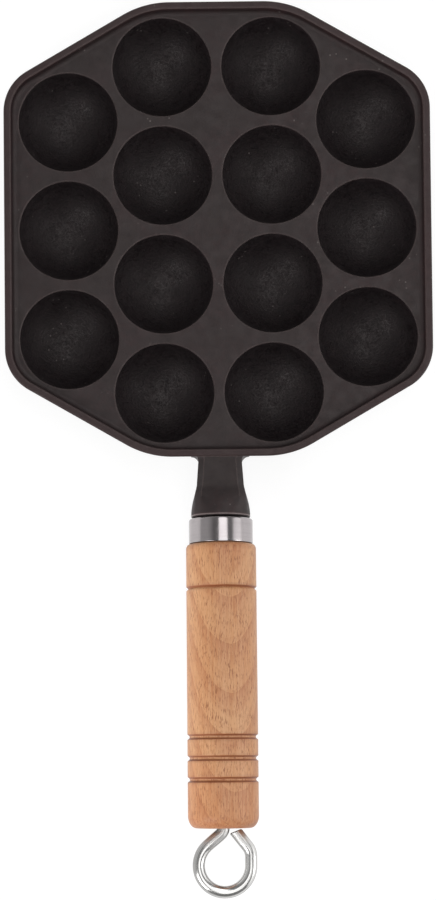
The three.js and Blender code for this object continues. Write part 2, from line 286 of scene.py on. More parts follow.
def mark(piece, name, test):
    """Gives each mesh point the test's value, for the material to read."""
    layer = piece.data.attributes.new(name, "FLOAT", "POINT")
    layer.data.foreach_set("value", [float(test(corner.co)) for corner in piece.data.vertices])


def dress(piece, material, body, node):
    """Gives a piece its material and the body that carries it, and hides the CAD node that it stands for.
    """
    piece.data.materials.clear()
    piece.data.materials.append(material)
    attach(piece, body)
    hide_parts(node)


# Pan

CASTING_CREASE = math.radians(32)
DOME_FILLET_END = -QUARTER * 0.92  # a little short of level, so that the dome enters the plate
MOUTH_LIFT = 0.01  # keeps the roundings at the cups' mouths off the plate's own level
BAR_FACET_PARTS = 10
BAR_BEVEL_PARTS = 4
KEEL_STEPS = 12
FLARE_STEPS = 16
FLARE_EASE = 0.13  # the share of the flare over which it gently starts

# Where the casting's finish differs: darker cups, painted shadow on the collar's face, rim wear and a
# painted lip highlight, and the mark's value for the last two
MARK_REACH = 0.1
COLLAR_FACE = -0.6 * COLLAR_LIP
LIP_EDGE = -0.85 * COLLAR_LIP
LIP_EDGE_REACH = 0.17 * COLLAR_LIP
# The mark's value on the rim's worn top, and where a painted highlight goes on the collar lip's edge
RIM_WEAR = 1
LIP_WEAR = 2


def outline_ring(inset, z):
    """The pan's outline at one level: eight sides with round corners."""
    ring = []
    for i, angle in enumerate(SIDE_ANGLES):
        following = SIDE_ANGLES[(i + 1) % len(SIDE_ANGLES)]
        turn = (following - angle) % FULL
        radius = SIDE_CORNER_RADIUS if turn > LEAST_SIDE_CORNER else END_CORNER_RADIUS
        near = outline_distance(angle) - radius
        far = outline_distance(following) - radius
        x = (near * math.sin(following) - far * math.sin(angle)) / math.sin(turn)
        y = (far * math.cos(angle) - near * math.cos(following)) / math.sin(turn)
        drawn = radius - inset - HAIR
        ring += [(px, py, z) for px, py in arc(x, y, drawn, drawn, angle, angle + turn, steps=18)]
    return ring


def plate_with_rim():
    """The plate up to its floor, with the drafted rim and the fillet at the rim's inner foot."""
    edge = RIM_EDGE_ROUND
    foot = RIM_DRAFT + edge
    fillet_foot = RIM_BAND + RIM_SLOPE + RIM_FILLET
    section = [(foot, PLATE_BOTTOM)]
    section += arc(foot, PLATE_BOTTOM + edge, -edge, -edge, QUARTER, 0, steps=5)[1:]
    section += arc(edge, RIM_TOP - edge, -edge, edge, 0, QUARTER, steps=6)
    section += [(RIM_BAND - RIM_INNER_ROUND, RIM_TOP), (RIM_BAND, RIM_TOP - RIM_INNER_ROUND / 2)]
    section += arc(fillet_foot, PLATE_TOP + RIM_FILLET, -RIM_FILLET, -RIM_FILLET, 0, QUARTER, steps=8)
    return skin("casting_skin", [outline_ring(inset, z) for inset, z in section], PAN_FRAME)


def cup_frame(x, y):
    """The frame of the cup at this place on the plate."""
    return PAN_FRAME @ Matrix.Translation((x * MM, y * MM, 0))


def dome(x, y):
    """The outside of a cup, with a hollow fillet where it meets the plate's underside."""
    foot_z = BOWL_CENTRE_Z - DOME_RADIUS + FOOT_FLAT
    fillet_z = PLATE_BOTTOM - DOME_FILLET
    reach = math.sqrt((DOME_RADIUS + DOME_FILLET) ** 2 - (BOWL_CENTRE_Z - fillet_z) ** 2)
    contact = math.atan2(fillet_z - BOWL_CENTRE_Z, reach)
    foot = math.asin((foot_z - BOWL_CENTRE_Z) / DOME_RADIUS)
    profile = [(0, foot_z)]
    profile += arc(0, BOWL_CENTRE_Z, DOME_RADIUS, DOME_RADIUS, foot, contact, steps=20)
    profile += arc(reach, fillet_z, -DOME_FILLET, -DOME_FILLET, contact, DOME_FILLET_END, steps=5)[1:]
    widest = profile[-1][0]
    profile += [(widest, PLATE_BOTTOM + OVERRUN), (0, PLATE_BOTTOM + OVERRUN)]
    return skin("dome", turned_rings(profile, segments=72), cup_frame(x, y))


def bowl(x, y):
    """The hollow of a cup, with a small rounding at its mouth."""
    edge = MOUTH_EDGE_ROUND
    round_z = PLATE_TOP + MOUTH_LIFT - edge
    reach = math.sqrt((BOWL_RADIUS + edge) ** 2 - (BOWL_CENTRE_Z - round_z) ** 2)
    contact = math.atan2(round_z - BOWL_CENTRE_Z, reach)
    profile = arc(0, BOWL_CENTRE_Z, BOWL_RADIUS, BOWL_RADIUS, -QUARTER, contact, steps=24)
    profile += arc(reach, round_z, -edge, -edge, contact, -QUARTER, steps=5)[1:]
    profile += [(reach, PLATE_TOP + OVERRUN), (0, PLATE_TOP + OVERRUN)]
    return skin("bowl", turned_rings(profile, segments=96), cup_frame(x, y))


def bevelled_bar(half_width, half_height):
    """Points round the section of a bevelled bar."""
    bevel = min(NECK_BEVEL, half_height / 2, half_width / 2)
    flat_x, flat_y = half_width - bevel, half_height - bevel
    corners = [
        (half_width, -flat_y), (half_width, flat_y), (flat_x, half_height), (-flat_x, half_height),
        (-half_width, flat_y), (-half_width, -flat_y), (-flat_x, -half_height), (flat_x, -half_height),
    ]
    bar = []
    for i, (x, y) in enumerate(corners):
        next_x, next_y = corners[(i + 1) % len(corners)]
        parts = BAR_BEVEL_PARTS if i % 2 else BAR_FACET_PARTS
        bar += [(lerp(x, next_x, part / parts), lerp(y, next_y, part / parts)) for part in range(parts)]
    return bar


def neck_ring(along, centre, half_width, half_height, roundness):
    """A bevelled bar's section that becomes a circle as roundness goes to one."""
    bar = bevelled_bar(half_width, half_height)
    ring = []
    for i, (x, y) in enumerate(bar):
        angle = (i - BAR_FACET_PARTS / 2) / len(bar) * FULL
        ring.append((
            lerp(x, half_width * math.cos(angle), roundness),
            lerp(y, half_height * math.sin(angle), roundness) + centre,
            along,
        ))
    return ring


def above_rod(z, along):
    """How far a level of the pan lies above the handle's axis."""
    return (z - COLLAR_Z - along * math.sin(HANDLE_TILT)) / math.cos(HANDLE_TILT)


def keel_stations(rooted):
    """The keel under the plate, which grows from a shallow tip to the neck's width and height."""
    stations = []
    for i in range(KEEL_STEPS + 1):
        share = i / KEEL_STEPS
        along = lerp(PAN_EDGE - KEEL_REACH, PAN_EDGE - RIM_BAND, share)
        top = above_rod(PLATE_TOP - PLATE_THICKNESS / 2, along)
        shallow = above_rod(PLATE_BOTTOM, along) + PLATE_THICKNESS / 4
        bottom = lerp(shallow, -NECK_HEIGHT / 2, math.sin(share * QUARTER))
        wide = lerp(KEEL_TIP_WIDTH / 2, rooted, share)
        stations.append((along, (top + bottom) / 2, wide, (top - bottom) / 2, 0))
    return stations


def flare_stations():
    """The neck's swelling from a bar to the round collar, with an eased start."""
    stations = []
    for i in range(FLARE_STEPS + 1):
        share = lerp(-FLARE_EASE, 1, i / FLARE_STEPS)
        swell = math.sin(share * QUARTER)
        if share < FLARE_EASE:
            swell = QUARTER * (share + FLARE_EASE) ** 2 / (4 * FLARE_EASE)
        stations.append((
            lerp(-NECK_FLARE_LENGTH, -COLLAR_LIP, share), 0,
            lerp(NECK_WIDTH / 2, COLLAR_RADIUS, swell), lerp(NECK_HEIGHT / 2, COLLAR_RADIUS, swell),
            smooth_share(max(0, share)),
        ))
    return stations


def neck():
    """From the tip of the keel under the plate out to the collar's face."""
    rooted = NECK_ROOT_WIDTH / 2 + NECK_ROOT_FILLET
    fillet_centre = PAN_EDGE - RIM_DRAFT + NECK_ROOT_FILLET
    fillet = arc(rooted, fillet_centre, -NECK_ROOT_FILLET, -NECK_ROOT_FILLET, QUARTER, 0, steps=10)
    lip = arc(COLLAR_RADIUS - COLLAR_LIP, -COLLAR_LIP, COLLAR_LIP, COLLAR_LIP, 0, QUARTER, steps=6)[1:]
    stations = keel_stations(rooted)
    stations += [(along, 0, wide, NECK_HEIGHT / 2, 0) for wide, along in fillet]
    stations += flare_stations()
    stations += [(along, 0, radius, radius, 1) for radius, along in lip]
    return skin("neck", [neck_ring(*station) for station in stations], HANDLE_FRAME)


def socket():
    """The blind hole in the neck that takes the rod's threaded end."""
    depth = ROD_ENGAGEMENT + SOCKET_SPARE
    mouth = ROD_HOLE_RADIUS + SOCKET_CHAMFER
    profile = [
        (0, -depth - ROD_HOLE_RADIUS / 2), (ROD_HOLE_RADIUS, -depth), (ROD_HOLE_RADIUS, -SOCKET_CHAMFER),
        (mouth, 0), (mouth, OVERRUN), (0, OVERRUN),
    ]
    return skin("socket", turned_rings(profile, segments=48), HANDLE_FRAME)


def matt(point):
    """Whether a point is in a cup, which is painted darker, or on the collar's turned-in face, where shadow
    is painted.
    """
    if (HANDLE_FRAME.inverted() @ point / MM).z > COLLAR_FACE:
        return True
    place = PAN_FRAME.inverted() @ point / MM
    reach = BOWL_RADIUS + MARK_REACH
    return any((place - Vector((x, y, BOWL_CENTRE_Z))).length < reach for x, y in CUPS)


def wear(point):
    """The wear on the rim's flat top, and the painted highlight on the edge of the collar's lip; nothing
    elsewhere.
    """
    place = PAN_FRAME.inverted() @ point / MM
    if place.z > RIM_TOP - RIM_EDGE_ROUND and place.y > -HALF_LENGTH:
        return RIM_WEAR
    on_collar = HANDLE_FRAME.inverted() @ point / MM
    at_edge = abs(on_collar.z - LIP_EDGE) < LIP_EDGE_REACH
    outside = math.hypot(on_collar.x, on_collar.y) > COLLAR_RADIUS - COLLAR_LIP
    return LIP_WEAR if at_edge and outside else 0


def casting():
    """The whole pan, one pour of iron."""
    piece = plate_with_rim()
    combine(piece, [neck()] + [dome(x, y) for x, y in CUPS], "UNION")
    combine(piece, [socket()] + [bowl(x, y) for x, y in CUPS], "DIFFERENCE")
    shade(piece, CASTING_CREASE, flat_levels=(PLATE_TOP, RIM_TOP, PLATE_BOTTOM, 0))
    # Inside the cups the iron is painted darker; on the collar's turned-in face the same dark colour is
    # painted shadow of the gap to the ferrule
    mark(piece, "seasoned", matt)
    # Marks the rim's wear and the painted highlight on the collar lip's edge
    mark(piece, "worn", wear)
    return piece


# Handle

HANDLE_CREASE = math.radians(40)

# Rings that keep the shading of the ferrule's flat face and straight side even
FERRULE_FACE_RING = 3
FERRULE_SIDE_RING = 1.6

# A groove's shape across its width: share of the width, share of the depth, how dark it is, which is burn
# colour with painted shade on the flanks
WIDE_SHAPE = [
    (0, 0, 0.2), (0.06, 0.05, 0.7), (0.16, 0.35, 1), (0.28, 0.8, 0.9), (0.4, 0.98, 0.25),
    (0.5, 1, 0.1), (0.6, 0.98, 0.25), (0.72, 0.8, 0.9), (0.84, 0.35, 1), (0.94, 0.05, 0.7), (1, 0, 0.2),
]
NARROW_SHAPE = [
    (0, 0, 0.3), (0.1, 0.12, 0.9), (0.3, 0.7, 1), (0.45, 1, 0.8), (0.6, 0.85, 0.2), (0.85, 0.2, 0),
    (1, 0, 0),
]

# How burnished the other turned places of the grip are, and how its plain side is divided into rings
NOSE_BURNISH = 0.5
SHOULDER_BURNISH = 0.15
END_BURNISH = 0.35
BORE_EDGE_BURNISH = 0.3
BORE_BURNISH = 0.8
PLAIN_LEAD = 1
PLAIN_SPACING = 6
SHORT_GAP = 3

# Where the thread's flank starts and how wide it is, as shares of half a pitch
THREAD_FLANK_START = 0.1
THREAD_FLANK_WIDTH = 0.75
THREAD_STEPS = 176

# Places of the rings on the rod's straight part, and the points in each
ROD_PLAIN_RINGS = (40, 80)
ROD_SIDES = 40


def handle_piece(name, profile, segments, shades=()):
    """A turned piece about the rod, through profile points that close on themselves."""
    piece = skin(name, turned_rings(profile, segments), HANDLE_FRAME, wrap=True, shades=shades)
    shade(piece, HANDLE_CREASE)
    return piece


def ferrule():
    """The cap over the grip's nose, round at its edge and barely rolled in at its mouth."""
    inner = FERRULE_RADIUS - FERRULE_WALL
    edge = FERRULE_EDGE_ROUND
    roll = FERRULE_MOUTH_ROUND
    profile = [(ROD_HOLE_RADIUS, SEAT_GAP), (ROD_HOLE_RADIUS + FERRULE_FACE_RING, SEAT_GAP)]
    profile += arc(FERRULE_RADIUS - edge, SEAT_GAP + edge, edge, edge, -QUARTER, 0, steps=10)
    profile += [(FERRULE_RADIUS, FERRULE_END - FERRULE_SIDE_RING), (FERRULE_RADIUS, FERRULE_END - roll)]
    profile += arc(FERRULE_RADIUS - roll, FERRULE_END - roll, roll, roll, 0, QUARTER, steps=4)[1:]
    profile += [(inner, FERRULE_END), (inner, SEAT_GAP + FERRULE_WALL),
                (ROD_HOLE_RADIUS, SEAT_GAP + FERRULE_WALL)]
    return handle_piece("ferrule_shell", profile, segments=128)


def groove(middle, width, depth, shape):
    """Profile points (radius, height, darkening) across one groove; the darkening is burn colour with
    painted shade on the flanks.
    """
    return [(GRIP_SKIN - depth * down, middle + (share - 0.5) * width, burnish)
            for share, down, burnish in shape]


def grooves():
    """Profile points across all the grooves, from the shoulder to the end."""
    narrow, wide = NARROW_GROOVE, WIDE_GROOVE
    points = groove(GRIP_SHOULDER + narrow["middle"], narrow["width"], narrow["depth"], NARROW_SHAPE)
    for i in range(wide["count"]):
        middle = GRIP_END - wide["from_end"] - (wide["count"] - 1 - i) * wide["spacing"]
        points += groove(middle, wide["width"], wide["depth"], WIDE_SHAPE)
    return points


def plain_side(start, end, steps):
    """Profile points of a stretch of plain side, a little short of what it lies between."""
    return [(GRIP_SKIN, lerp(start + PLAIN_LEAD, end - PLAIN_LEAD, i / steps), 0) for i in range(steps + 1)]


def grip_nose():
    """Profile points of the nose within the ferrule and the rounded shoulder."""
    radius = FERRULE_RADIUS - FERRULE_WALL - SEAT_GAP
    start = SEAT_GAP + FERRULE_WALL + SEAT_GAP
    shoulder = arc(GRIP_SKIN - GRIP_SHOULDER_DROP, GRIP_SHOULDER + GRIP_SHOULDER_RUN,
                   GRIP_SHOULDER_DROP, GRIP_SHOULDER_RUN, -QUARTER, 0, steps=10)
    return [
        (GRIP_BORE_RADIUS, start, 0), (radius - GRIP_NOSE_CHAMFER, start, 0),
        (radius, start + GRIP_NOSE_CHAMFER, 0), (radius, GRIP_SHOULDER, NOSE_BURNISH),
    ] + [(r, z, SHOULDER_BURNISH) for r, z in shoulder]


def grip_side():
    """Profile points of the grooves and the plain stretches between them."""
    profile = []
    previous = GRIP_SHOULDER + GRIP_SHOULDER_RUN
    for point in grooves():
        height = point[1]
        if height - previous > SHORT_GAP:
            profile += plain_side(previous, height, math.ceil((height - previous) / PLAIN_SPACING))
        profile.append(point)
        previous = height
    return profile + plain_side(previous, GRIP_END - GRIP_END_RUN, steps=3)


def grip_end():
    """Profile points of the rounded end and the counterbore."""
    start = GRIP_END - GRIP_END_RUN
    rounded = arc(GRIP_SKIN - GRIP_END_DROP, start, GRIP_END_DROP, GRIP_END_RUN, 0, QUARTER, steps=16)
    bottom = GRIP_END - COUNTERBORE_DEPTH
    return [(r, z, END_BURNISH * (z - start) / GRIP_END_RUN) for r, z in rounded] + [
        (COUNTERBORE_RADIUS + COUNTERBORE_CHAMFER, GRIP_END, BORE_EDGE_BURNISH),
        (COUNTERBORE_RADIUS, GRIP_END - COUNTERBORE_CHAMFER, BORE_BURNISH),
        (COUNTERBORE_RADIUS, bottom, BORE_BURNISH), (GRIP_BORE_RADIUS, bottom, BORE_BURNISH),
    ]


def grip():
    """The turned wooden grip, bored right through."""
    profile = grip_nose() + grip_side() + grip_end()
    shades = [burnish for _, _, burnish in profile]
    return handle_piece("grip_wood", [(r, z) for r, z, _ in profile], segments=128, shades=shades)


def washer():
    """The washer in the counterbore, under the bend of the rod."""
    edge = WASHER_CHAMFER
    top = WASHER_START + WASHER_THICKNESS
    profile = [
        (ROD_HOLE_RADIUS, WASHER_START), (WASHER_RADIUS - edge, WASHER_START),
        (WASHER_RADIUS, WASHER_START + edge), (WASHER_RADIUS, top - edge),
        (WASHER_RADIUS - edge, top), (ROD_HOLE_RADIUS, top),
    ]
    return handle_piece("washer_disc", profile, segments=64)


def thread_drop(z, angle):
    """How far the threaded end's surface lies inside the rod's outside."""
    turn = z / THREAD_PITCH - angle / FULL
    ridge = abs((turn % 1) * 2 - 1)
    cut = held((ridge - THREAD_FLANK_START) / THREAD_FLANK_WIDTH)
    return THREAD_DEPTH * cut * held((-COLLAR_LIP - z) / THREAD_RUNOUT)


def threaded_rings(around):
    """Rings of the rod's end in the neck, from its chamfered tip to the collar's face."""
    rings = []
    for i in range(THREAD_STEPS + 1):
        z = lerp(-ROD_ENGAGEMENT, 0, i / THREAD_STEPS)
        tip = ROD_RADIUS - max(0, ROD_TIP_CHAMFER - (z + ROD_ENGAGEMENT))
        radii = [min(tip, ROD_RADIUS - thread_drop(z, a)) for a in around]
        rings.append([(r * math.cos(a), r * math.sin(a), z) for r, a in zip(radii, around)])
    return rings


def wire_arc(centre, radius, start, end, steps):
    """Places along the rod's centre line on an arc. A negative radius turns the wire clockwise."""
    headings = [lerp(start, end, i / steps) for i in range(steps + 1)]
    return [(centre.x + radius * math.cos(h), centre.y + radius * math.sin(h), h, ROD_RADIUS - HAIR)
            for h in headings]


def rod_stations():
    """Places (x, z, heading, radius) along the rod's centre line between its threaded end and tail."""
    bend_centre = Vector((-EYE_BEND_RADIUS, EYE_BEND_START))
    between = EYE_CENTRE - bend_centre
    bend = math.atan2(between.y, between.x) - math.acos((EYE_BEND_RADIUS + EYE_RADIUS) / between.length)
    shoulder_centre = EYE_CENTRE + Vector((EYE_RADIUS - EYE_SHOULDER_RADIUS, -EYE_SHOULDER_RUN))
    backward = -math.pi
    end = backward - EYE_TAIL_TURN
    stations = [(0, z, 0, ROD_RADIUS) for z in ROD_PLAIN_RINGS]
    stations += wire_arc(bend_centre, EYE_BEND_RADIUS, 0, bend, steps=16)
    stations += wire_arc(EYE_CENTRE, -EYE_RADIUS, bend, backward, steps=72)
    stations += wire_arc(shoulder_centre, -EYE_SHOULDER_RADIUS, backward, end, steps=12)
    return stations


def tail_stations(x, z, heading):
    """The last two places of the rod, between which its cut end is rounded."""
    sine, cosine = math.sin(EYE_TAIL_TURN), math.cos(EYE_TAIL_TURN)
    tail_z = GRIP_END + SEAT_GAP + ROD_RADIUS * (sine - EYE_TAIL_CUT * cosine)
    reach = (z - tail_z) / cosine
    rounding = EYE_TAIL_ROUND
    return [(x - run * sine, z - run * cosine, heading, radius)
            for run, radius in ((reach - rounding, ROD_RADIUS - HAIR), (reach, ROD_RADIUS - rounding))]


def wire_ring(around, station, slant=0):
    """A ring square to the rod's centre line, or slanted as at its cut end."""
    x, z, heading, radius = station
    return [(
        x + radius * math.cos(a) * (math.cos(heading) - slant * math.sin(heading)),
        radius * math.sin(a),
        z + radius * math.cos(a) * (math.sin(heading) + slant * math.cos(heading)),
    ) for a in around]


def wire_places(around, rings):
    """Each point's place on the wire, for streaks that follow it: round it, and along it in metres."""
    run = 0
    places = []
    for ring, previous in zip(rings, rings[:1] + rings):
        run += (Vector(ring[0]) - Vector(previous[0])).length * MM
        places += [(math.cos(a), math.sin(a), run) for a in around]
    return places


def eye_rod():
    """The rod from its threaded tip, through the grip and round the hanging eye."""
    around = circle_angles(ROD_SIDES)
    stations = rod_stations()
    tail = tail_stations(*stations[-1][:3])
    rings = threaded_rings(around)
    rings += [wire_ring(around, station) for station in stations]
    rings += [wire_ring(around, station, EYE_TAIL_CUT) for station in tail]
    piece = skin("eye_wire", rings, HANDLE_FRAME, wire=wire_places(around, rings))
    shade(piece, HANDLE_CREASE)
    return piece


# Materials

def colour(red, green, blue):
    """A colour as seen on a screen, 0 to 255, in the renderer's linear light."""
    def linear(value):
        value /= 255
        return value / 12.92 if value <= 0.04045 else ((value + 0.055) / 1.055) ** 2.4
    return (linear(red), linear(green), linear(blue), 1)


def grey(level):
    """A grey given in linear light."""
    return (level, level, level, 1)


def palette(**colours):
    """Named colours, each as seen on a screen."""
    return {name: colour(*values) for name, values in colours.items()}


# The darkest colours go inside the cups and paint shadow on the collar's turned-in face, the palest paints
# a highlight on the collar lip's edge, and the edge colour is edge wear with a painted highlight
IRON = palette(
    plain=(28, 20, 19), ruddy=(35, 20, 21), mottled=(23, 16, 17), seasoned=(22, 14, 16),
    seasoned_mottled=(9, 5, 7), rubbed=(54, 32, 33), bare=(140, 128, 126), edge=(96, 84, 82),
    speck=(84, 78, 76),
)
IRON_TINT = (1, 0.915, 0.905, 1)
# The burnt colour is also painted shade on the grooves' flanks
BEECH = palette(
    pale=(198, 147, 104), warm=(184, 125, 80), end=(180, 110, 65), thin_layer=(164, 98, 56),
    late_wood=(160, 94, 56), fibre=(215, 172, 131), fleck=(132, 74, 40), burnished=(122, 60, 28),
)
METAL = palette(
    ferrule=(174, 168, 169), rod=(221, 220, 218), streak=(78, 77, 77),
    washer=(168, 166, 162), washer_dull=(146, 144, 141),
)
CLOUD_LEVEL = 0.93

# Pattern scales: about how many marks there are in a metre
IRON_SCALES = {
    "patches": 55, "mottle": 420, "specks": 330, "speck_fields": 60, "waves": 90, "sand": 520,
    "grain": 1050, "sheen": 260,
}
BEECH_SCALES = {"patches": 34, "crowding": 150}
PLATING_SCALES = {"clouds": 160, "sheen": 240, "waves": 110}

# How strongly each finish covers what lies under it, from 0 to 1
# For the iron: wear on the rim, a painted highlight on the collar's lip, and edge wear with a painted
# highlight
IRON_SHARES = {"rubbed": 0.3, "bare": 0.45, "edge": 0.5}
BEECH_SHARES = {"end": 0.6, "thin_layer": 0.22, "late_wood": 0.57, "fibre": 0.34, "burnished": 0.85}

# How much smoother the collar lip's edge is where its highlight is painted, and the radius in metres over
# which edges look rounded
BARE_SMOOTHNESS = 0.25
SOFT_EDGE = 0.0007

# How the log's axis lies to the grip's, and how close its growth layers are
LOG_TURN = (math.radians(17), 0, 0)
LOG_SHIFT = (0.01, 0.06, 0)
LAYER_SCALE = 58
THIN_LAYER_SCALE = LAYER_SCALE * 2.7

# Where the wood grows warmer towards its end, and where the rod is rubbed dull beside it, in metres
# along the handle
END_WARMS_FROM = 0.085
END_WARM = 0.12
RUBBED_START = (GRIP_END + 5) * MM
RUBBED_END = (GRIP_END + 9) * MM


class Nodes:
    """A node tree under way."""

    def __init__(self, tree):
        self.tree = tree

    def add(self, kind, settings=None, **inputs):
        """Adds a node with these settings and inputs, whose names have _ for a space."""
        made = self.tree.nodes.new(kind)
        for key, value in (settings or {}).items():
            setattr(made, key, value)
        for key, value in inputs.items():
            self.feed(made.inputs[key.replace("_", " ")], value)
        return made

    def feed(self, socket, value):
        """Links an output to a socket, or sets the socket to a plain value."""
        if isinstance(value, bpy.types.NodeSocket):
            self.tree.links.new(value, socket)
        else:
            socket.default_value = value

    def join(self, kind, *values, **settings):
        """The first output of a node that takes the values in order."""
        made = self.add(kind, settings)
        for socket, value in zip(made.inputs, values):
            self.feed(socket, value)
        return made.outputs[0]

    def maths(self, operation, first, second):
        return self.join("ShaderNodeMath", first, second, operation=operation)

    def times(self, first, second):
        return self.maths("MULTIPLY", first, second)

    def ramp(self, factor, low, high, start=0, end=1):
        """Brings the factor's range low to high to the range start to end, and holds it there."""
        return self.add("ShaderNodeMapRange", Value=factor, From_Min=low, From_Max=high,
                        To_Min=start, To_Max=end).outputs[0]

    def mix(self, share, first, second):
        return self.add("ShaderNodeMixRGB", Fac=share, Color1=first, Color2=second).outputs[0]


class Paint(Nodes):
    """A material under way. Its patterns lie in the part's frame, or in the handle's own."""

    def __init__(self, name, along_handle=False):
        self.material = bpy.data.materials.new(name)
        self.material.use_nodes = True
        super().__init__(self.material.node_tree)
        self.place = self.add("ShaderNodeTexCoord").outputs["Object"]
        if along_handle:
            self.place = self.add("ShaderNodeMapping", {"vector_type": "TEXTURE"}, Vector=self.place,
                                  Location=HANDLE_PLACE, Rotation=(HANDLE_TURN, 0, 0)).outputs[0]

    def finish(self, **inputs):
        """Feeds the shader's inputs and hands over the material."""
        shader = self.tree.nodes["Principled BSDF"]
        for key, value in inputs.items():
            self.feed(shader.inputs[key.replace("_", " ")], value)
        return self.material

    def marked(self, name, output="Fac"):
        """What a mark on the mesh says."""
        return self.add("ShaderNodeAttribute", {"attribute_name": name}).outputs[output]

    def along(self):
        """How far out along the handle a point lies, in metres."""
        return self.add("ShaderNodeSeparateXYZ", Vector=self.place).outputs["Z"]

    def mapped(self, place, **mapping):
        return self.add("ShaderNodeMapping", Vector=place, **mapping).outputs[0]

    def noise(self, scale, detail=3, roughness=0.5, place=None, distortion=0):
        return self.add("ShaderNodeTexNoise", Vector=place or self.place, Scale=scale, Detail=detail,
                        Roughness=roughness, Distortion=distortion).outputs["Fac"]

    def stretched_noise(self, across, along, detail=3, roughness=0.5, distortion=0):
        """Noise with its own scale across the handle and along it."""
        place = self.mapped(self.place, Scale=(across, across, along))
        return self.noise(1, detail, roughness, place, distortion)

    def layers(self, place, scale, distortion):
        """A log's growth layers, each of which darkens slowly and ends sharply."""
        rings = {"wave_type": "RINGS", "rings_direction": "Z", "wave_profile": "SAW"}
        return self.add("ShaderNodeTexWave", rings, Vector=place, Scale=scale, Distortion=distortion,
                        Detail=2, Detail_Scale=0.5).outputs["Fac"]

    def bump(self, height, distance, strength, normal=None):
        made = self.add("ShaderNodeBump", Height=height, Distance=distance, Strength=strength)
        if normal is not None:
            self.feed(made.inputs["Normal"], normal)
        return made.outputs[0]


def iron_tone(paint, seasoned, worn, bare, softened):
    """Brown-black iron with mottling, darker cups, painted shadow and a painted highlight at the collar,
    edges lighter from wear and a painted highlight, and a few specks.
    """
    scales, shares = IRON_SCALES, IRON_SHARES
    patches = paint.ramp(paint.noise(scales["patches"], detail=2), low=0.38, high=0.62)
    tone = paint.mix(patches, IRON["plain"], IRON["ruddy"])
    mottle = paint.ramp(paint.noise(scales["mottle"], detail=4, roughness=0.6), low=0.3, high=0.7)
    tone = paint.mix(mottle, tone, IRON["mottled"])
    # Darker colour inside the cups, and painted shadow on the collar's turned-in face
    tone = paint.mix(seasoned, tone, paint.mix(mottle, IRON["seasoned"], IRON["seasoned_mottled"]))
    tone = paint.mix(paint.times(worn, shares["rubbed"]), tone, IRON["rubbed"])
    # Painted highlight on the edge of the collar's lip
    tone = paint.mix(paint.times(bare, shares["bare"]), tone, IRON["bare"])
    # Lighter edges: edge wear, with a painted highlight along them
    facing = paint.add("ShaderNodeVectorMath", {"operation": "DOT_PRODUCT"}, Vector=softened)
    paint.feed(facing.inputs[1], paint.add("ShaderNodeNewGeometry").outputs["Normal"])
    edges = paint.ramp(facing.outputs["Value"], low=0.995, high=0.93, end=shares["edge"])
    tone = paint.mix(edges, tone, IRON["edge"])
    cells = paint.add("ShaderNodeTexVoronoi", Vector=paint.place, Scale=scales["specks"], Randomness=1)
    sparse = paint.ramp(paint.noise(scales["speck_fields"], detail=1), low=0.58, high=0.64)
    specks = paint.times(paint.ramp(cells.outputs["Distance"], low=0.14, high=0.07), sparse)
    return paint.mix(specks, tone, IRON["speck"])


def cast_iron():
    """Black iron: darker and rougher inside the cups, with painted shadow on the collar's turned-in face,
    and rubbed a little brighter on its edges, where a highlight is painted too.
    """
    paint = Paint("cast_iron_black")
    seasoned = paint.marked("seasoned")
    worn = paint.marked("worn")
    # Only the collar lip's painted highlight
    bare = paint.ramp(worn, low=1.2, high=LIP_WEAR)
    softened = paint.add("ShaderNodeBevel", {"samples": 4}, Radius=SOFT_EDGE).outputs[0]
    tone = iron_tone(paint, seasoned, worn, bare, softened)

    waves = paint.noise(IRON_SCALES["waves"], detail=1)
    sand = paint.noise(IRON_SCALES["sand"], detail=2)
    grain = paint.noise(IRON_SCALES["grain"], roughness=0.6)
    relief = paint.bump(waves, distance=0.00025, strength=0.5, normal=softened)
    relief = paint.bump(sand, distance=0.00012, strength=0.5, normal=relief)
    grain_strength = paint.ramp(seasoned, low=0, high=1, start=0.25)
    relief = paint.bump(grain, distance=0.0002, strength=grain_strength, normal=relief)

    rough = paint.ramp(paint.noise(IRON_SCALES["sheen"]), low=0.3, high=0.7, start=0.48, end=0.64)
    uneven = paint.ramp(grain, low=0.3, high=0.7, start=-0.13, end=0.22)
    rough = paint.maths("ADD", rough, paint.times(seasoned, uneven))
    rough = paint.maths("SUBTRACT", rough, paint.times(bare, BARE_SMOOTHNESS))
    return paint.finish(Base_Color=tone, Roughness=rough, Normal=relief,
                        Specular_IOR_Level=0.44, Specular_Tint=IRON_TINT)


